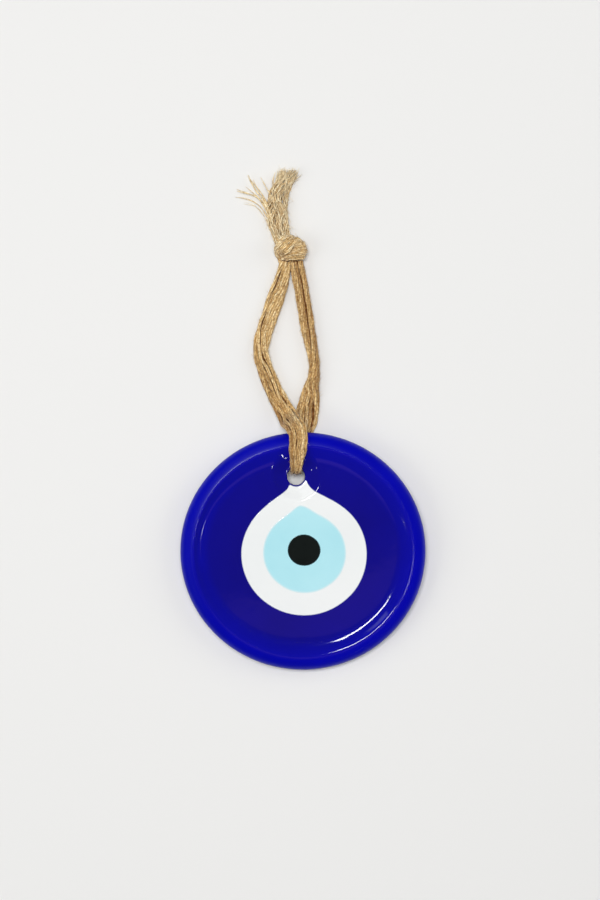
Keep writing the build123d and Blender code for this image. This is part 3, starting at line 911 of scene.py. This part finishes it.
light_m, nt, bsdf = new_material("light_blue_glass")
edge = attribute(nt, "edge")
co = object_coords(nt)
body = ramp(nt, noise(nt, co, 60.0, 3.0), [(0.3, (0.425, 0.775, 0.85)), (0.7, (0.475, 0.815, 0.88))])
rim_f = maths(nt, "DIVIDE", edge, 0.95, clamp=True)
rim_c = ramp(nt, rim_f, [(0.0, (0.84, 0.87, 0.87)), (0.45, (0.68, 0.84, 0.87)), (1.0, (0.455, 0.795, 0.87))])
nt.links.new(mix(nt, rim_f, rim_c, body), bsdf.inputs["Base Color"])
glass_finish(nt, bsdf, 0.0003)
light.data.materials.append(light_m)

dark_m, nt, bsdf = new_material("black_glass")
edge = attribute(nt, "edge")
co = object_coords(nt)
body = ramp(nt, noise(nt, co, 120.0, 3.0), [(0.3, (0.003, 0.005, 0.0045)), (0.7, (0.006, 0.009, 0.008))])
rim_f = maths(nt, "DIVIDE", edge, 0.35, clamp=True)
nt.links.new(mix(nt, rim_f, (0.10, 0.22, 0.25), body), bsdf.inputs["Base Color"])
glass_finish(nt, bsdf, 0.0003)
dark.data.materials.append(dark_m)


def jute_material(name, bright=1.0):
    m, nt, bsdf = new_material(name)
    along, deep, tint = attribute(nt, "along"), attribute(nt, "deep"), attribute(nt, "tint")
    co = object_coords(nt)
    vec = node(nt, "ShaderNodeCombineXYZ")
    nt.links.new(maths(nt, "MULTIPLY", along, 0.62), vec.inputs["X"])
    nt.links.new(maths(nt, "MULTIPLY", deep, 2.6), vec.inputs["Y"])
    nt.links.new(maths(nt, "MULTIPLY", tint, 9.0), vec.inputs["Z"])
    streak = noise(nt, vec.outputs[0], 2.4, 5.0, 0.65)
    patch = noise(nt, co, 320.0, 3.0)
    streak = maths(nt, "ADD", maths(nt, "MULTIPLY", maths(nt, "SUBTRACT", streak, 0.5), 1.9), 0.5)
    base = ramp(nt, maths(nt, "ADD", maths(nt, "MULTIPLY", streak, 0.58), maths(nt, "MULTIPLY", tint, 0.42)), [
        (0.20, (0.340 * bright, 0.180 * bright, 0.062 * bright)),
        (0.38, (0.620 * bright, 0.414 * bright, 0.172 * bright)),
        (0.54, (0.860 * bright, 0.662 * bright, 0.345 * bright)),
        (0.76, (0.980 * bright, 0.885 * bright, 0.645 * bright)),
    ])
    vec2 = node(nt, "ShaderNodeCombineXYZ")
    nt.links.new(maths(nt, "MULTIPLY", along, 1.15), vec2.inputs["X"])
    nt.links.new(maths(nt, "MULTIPLY", deep, 1.3), vec2.inputs["Y"])
    nt.links.new(maths(nt, "MULTIPLY", tint, 17.0), vec2.inputs["Z"])
    fleck = ramp(nt, noise(nt, vec2.outputs[0], 1.0, 2.5, 0.6), [
        (0.36, (0.46, 0.34, 0.21)), (0.47, (0.86, 0.80, 0.70)), (0.60, (1.10, 1.10, 1.08)), (0.70, (1.30, 1.34, 1.38))])
    base = mix(nt, 0.85, base, fleck, "MULTIPLY")
    # painted shade: low deep (the plies' inner sides and the core) is darkened, standing in for the shade between the
    # plies
    shade = ramp(nt, deep, [(0.0, (0.34, 0.19, 0.07)), (0.42, (0.69, 0.52, 0.31)), (0.74, (1.0, 1.0, 1.0))])
    col = mix(nt, 0.85, base, shade, "MULTIPLY")
    blotch = ramp(nt, patch, [(0.35, (0.86, 0.82, 0.76)), (0.6, (1.12, 1.11, 1.09))])
    col = mix(nt, 0.7, col, blotch, "MULTIPLY")
    nt.links.new(col, bsdf.inputs["Base Color"])
    bsdf.inputs["Roughness"].default_value = 0.82
    bsdf.inputs["Sheen Weight"].default_value = 0.25
    bsdf.inputs["Sheen Roughness"].default_value = 0.5
    bsdf.inputs["Specular IOR Level"].default_value = 0.3
    fib = noise(nt, vec.outputs[0], 7.0, 4.0, 0.7)
    bump(nt, fib, 0.6, 0.00012, bsdf)
    return m


jute = jute_material("jute_yarn")
for ob in (cord_loop, cord_knot, cord_tails):
    ob.data.materials.append(jute)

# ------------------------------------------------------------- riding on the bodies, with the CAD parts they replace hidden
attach(glass, "glass")
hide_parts("glass_body")
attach(white, "glass")
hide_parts("white_drop")
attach(light, "glass")
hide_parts("light_blue_drop")
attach(dark, "glass")
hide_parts("pupil")

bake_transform(cord_loop)
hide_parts("cord_hole_pass", "cord_front_run", "cord_back_run", "cord_crossing", "cord_left_leg", "cord_right_leg")
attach(cord_knot, "loop")
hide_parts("cord_knot")
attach(cord_tails, "loop")
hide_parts("cord_left_tail", "cord_right_tail")

loop_length = float(np.linalg.norm(np.diff(path, axis=0), axis=1).sum()) * MM
print("loop length", loop_length)

# ------------------------------------------------------------------ floor and light
bpy.ops.mesh.primitive_plane_add(size=6, location=(0, 0, 0))
floor = bpy.context.object
floor.name = "floor"
fm, nt, bsdf = new_material("floor")
bsdf.inputs["Base Color"].default_value = (0.83, 0.83, 0.815, 1)
bsdf.inputs["Roughness"].default_value = 0.75
bsdf.inputs["Specular IOR Level"].default_value = 0.2
floor.data.materials.append(fm)

world = bpy.data.worlds.new("world")
scene.world = world
world.use_nodes = True
bg = world.node_tree.nodes["Background"]
bg.inputs["Color"].default_value = (1.0, 0.995, 0.985, 1)
bg.inputs["Strength"].default_value = 0.11


def area(name, azimuth, tilt, distance, size, power, color=(1, 1, 1), gloss=True):
    """A soft light at a compass angle and a lean from straight up, both in degrees."""
    a, t = math.radians(azimuth), math.radians(tilt)
    at = Vector((math.sin(t) * math.cos(a), math.sin(t) * math.sin(a), math.cos(t))) * distance
    data = bpy.data.lights.new(name, "AREA")
    data.shape = "RECTANGLE"
    data.size, data.size_y = size
    data.energy = power
    data.color = color
    ob = bpy.data.objects.new(name, data)
    ob.location = at + Vector((0, 0.02, 0))
    ob.rotation_mode = "QUATERNION"
    ob.rotation_quaternion = (-at).to_track_quat("-Z", "Y")
    ob.visible_glossy = gloss
    scene.collection.objects.link(ob)
    return ob


area("overhead", 90, 6, 1.3, (0.40, 0.40), 7.7, gloss=False)
area("fill", 20, 55, 1.4, (0.9, 0.9), 3.7, gloss=False)
area("fill_left", 190, 52, 1.4, (0.9, 0.9), 4.4, gloss=False)
area("key", 141, 14, 1.3, (0.34, 0.11), 3.3)
area("key_right", -42, 15, 1.3, (0.06, 0.07), 0.30)
area("window", 128, 42, 1.3, (0.60, 0.46), 1.0)
area("glint", -63, 58, 1.3, (0.10, 0.035), 0.22)
area("glint_right", 207, 45, 1.3, (0.04, 0.04), 0.20)
area("card", -78, 14.5, 1.5, (0.62, 0.34), 0.09, (1.0, 0.5, 1.0))
area("card_low", -78, 17.5, 1.5, (0.62, 0.34), 0.09, (1.0, 0.5, 1.0))
